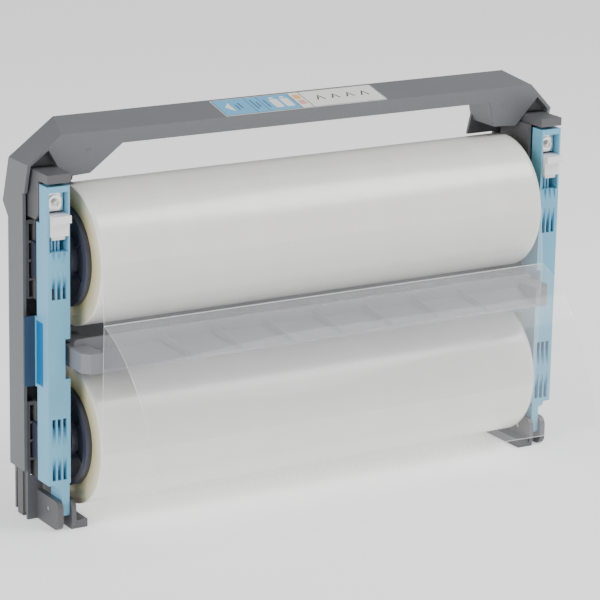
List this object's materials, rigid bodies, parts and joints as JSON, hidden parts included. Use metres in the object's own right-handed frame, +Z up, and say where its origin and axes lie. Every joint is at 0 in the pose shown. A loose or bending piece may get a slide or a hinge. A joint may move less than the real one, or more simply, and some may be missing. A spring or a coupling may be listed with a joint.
{
  "type": "laminating film cartridge",
  "caption": "Carry frame holding a pair of wound film rolls in open saddles, with hinged latching end arms, a guide bar and a threaded clear leader.",
  "frame": {"origin": "centre of the whole object's box, on the surface that its feet stand on", "axes": "+X along the rolls to the right end, +Y to the back, away from the hanging leader, +Z up"},
  "size_m": [0.3698, 0.1554, 0.2386],
  "materials": {
    "frame_grey": "moulded satin grey",
    "chassis_grey": "moulded satin dark grey",
    "bar_grey": "moulded satin grey",
    "arm_blue": "moulded satin sky blue",
    "tab_navy": "moulded satin navy",
    "pad_blue": "moulded satin deep blue",
    "latch_white": "glossy white",
    "hub_charcoal": "moulded satin charcoal",
    "film_roll": "pearly wound film",
    "core_card": "brown card",
    "label": "printed vinyl",
    "steel": "zinc plated",
    "spring_steel": "bright wire",
    "drag_felt": "dense felt",
    "clear_film": "clear film"
  },
  "bodies": {
    "cartridge": {"carry_frame": "frame_grey", "handle_label": "label", "left_chassis": "chassis_grey", "right_chassis": "chassis_grey", "frame_screws": "steel", "guide_bar": "bar_grey", "bar_screws": "steel", "left_hinge_pin": "steel", "right_hinge_pin": "steel", "left_strike_plate": "steel", "right_strike_plate": "steel", "left_strike_washer": "steel", "right_strike_washer": "steel", "left_strike_screw": "steel", "right_strike_screw": "steel", "drag_washers": "drag_felt", "upper_web": "clear_film", "lower_web": "clear_film", "film_leader": "clear_film"},
    "left_gate": {"left_arm": "arm_blue", "left_pull_tab": "tab_navy", "left_grip_pad": "pad_blue", "left_latch_spring": "spring_steel"},
    "right_gate": {"right_arm": "arm_blue", "right_pull_tab": "tab_navy", "right_grip_pad": "pad_blue", "right_latch_spring": "spring_steel"},
    "left_latch_body": {"left_latch": "latch_white"},
    "right_latch_body": {"right_latch": "latch_white"},
    "upper_roll": {"upper_film": "film_roll", "upper_core": "core_card", "upper_left_hub": "hub_charcoal", "upper_right_hub": "hub_charcoal"},
    "lower_roll": {"lower_film": "film_roll", "lower_core": "core_card", "lower_left_hub": "hub_charcoal", "lower_right_hub": "hub_charcoal"}
  },
  "joints": [
    {"name": "left_arm_hinge", "type": "hinge", "parent": "cartridge", "child": "left_gate", "pos_m": [-0.168, 0.0228, 0.0103], "axis": [1, 0, 0], "range_deg": [0, 85]},
    {"name": "right_arm_hinge", "type": "hinge", "parent": "cartridge", "child": "right_gate", "pos_m": [0.168, 0.0228, 0.0103], "axis": [1, 0, 0], "range_deg": [0, 85]},
    {"name": "left_latch_press", "type": "slide", "parent": "left_gate", "child": "left_latch_body", "axis": [0, 0, -1], "range_m": [0, 0.005], "stiffness_N_per_m": 300, "springref_m": -0.002, "deforming": ["left_latch_spring"]},
    {"name": "right_latch_press", "type": "slide", "parent": "right_gate", "child": "right_latch_body", "axis": [0, 0, -1], "range_m": [0, 0.005], "stiffness_N_per_m": 300, "springref_m": -0.002, "deforming": ["right_latch_spring"]},
    {"name": "upper_roll_spin", "type": "hinge", "parent": "cartridge", "child": "upper_roll", "pos_m": [0, 0.0359, 0.1585], "axis": [1, 0, 0], "continuous": true},
    {"name": "lower_roll_spin", "type": "hinge", "parent": "cartridge", "child": "lower_roll", "pos_m": [0, 0.0359, 0.0494], "axis": [1, 0, 0], "continuous": true}
  ]
}
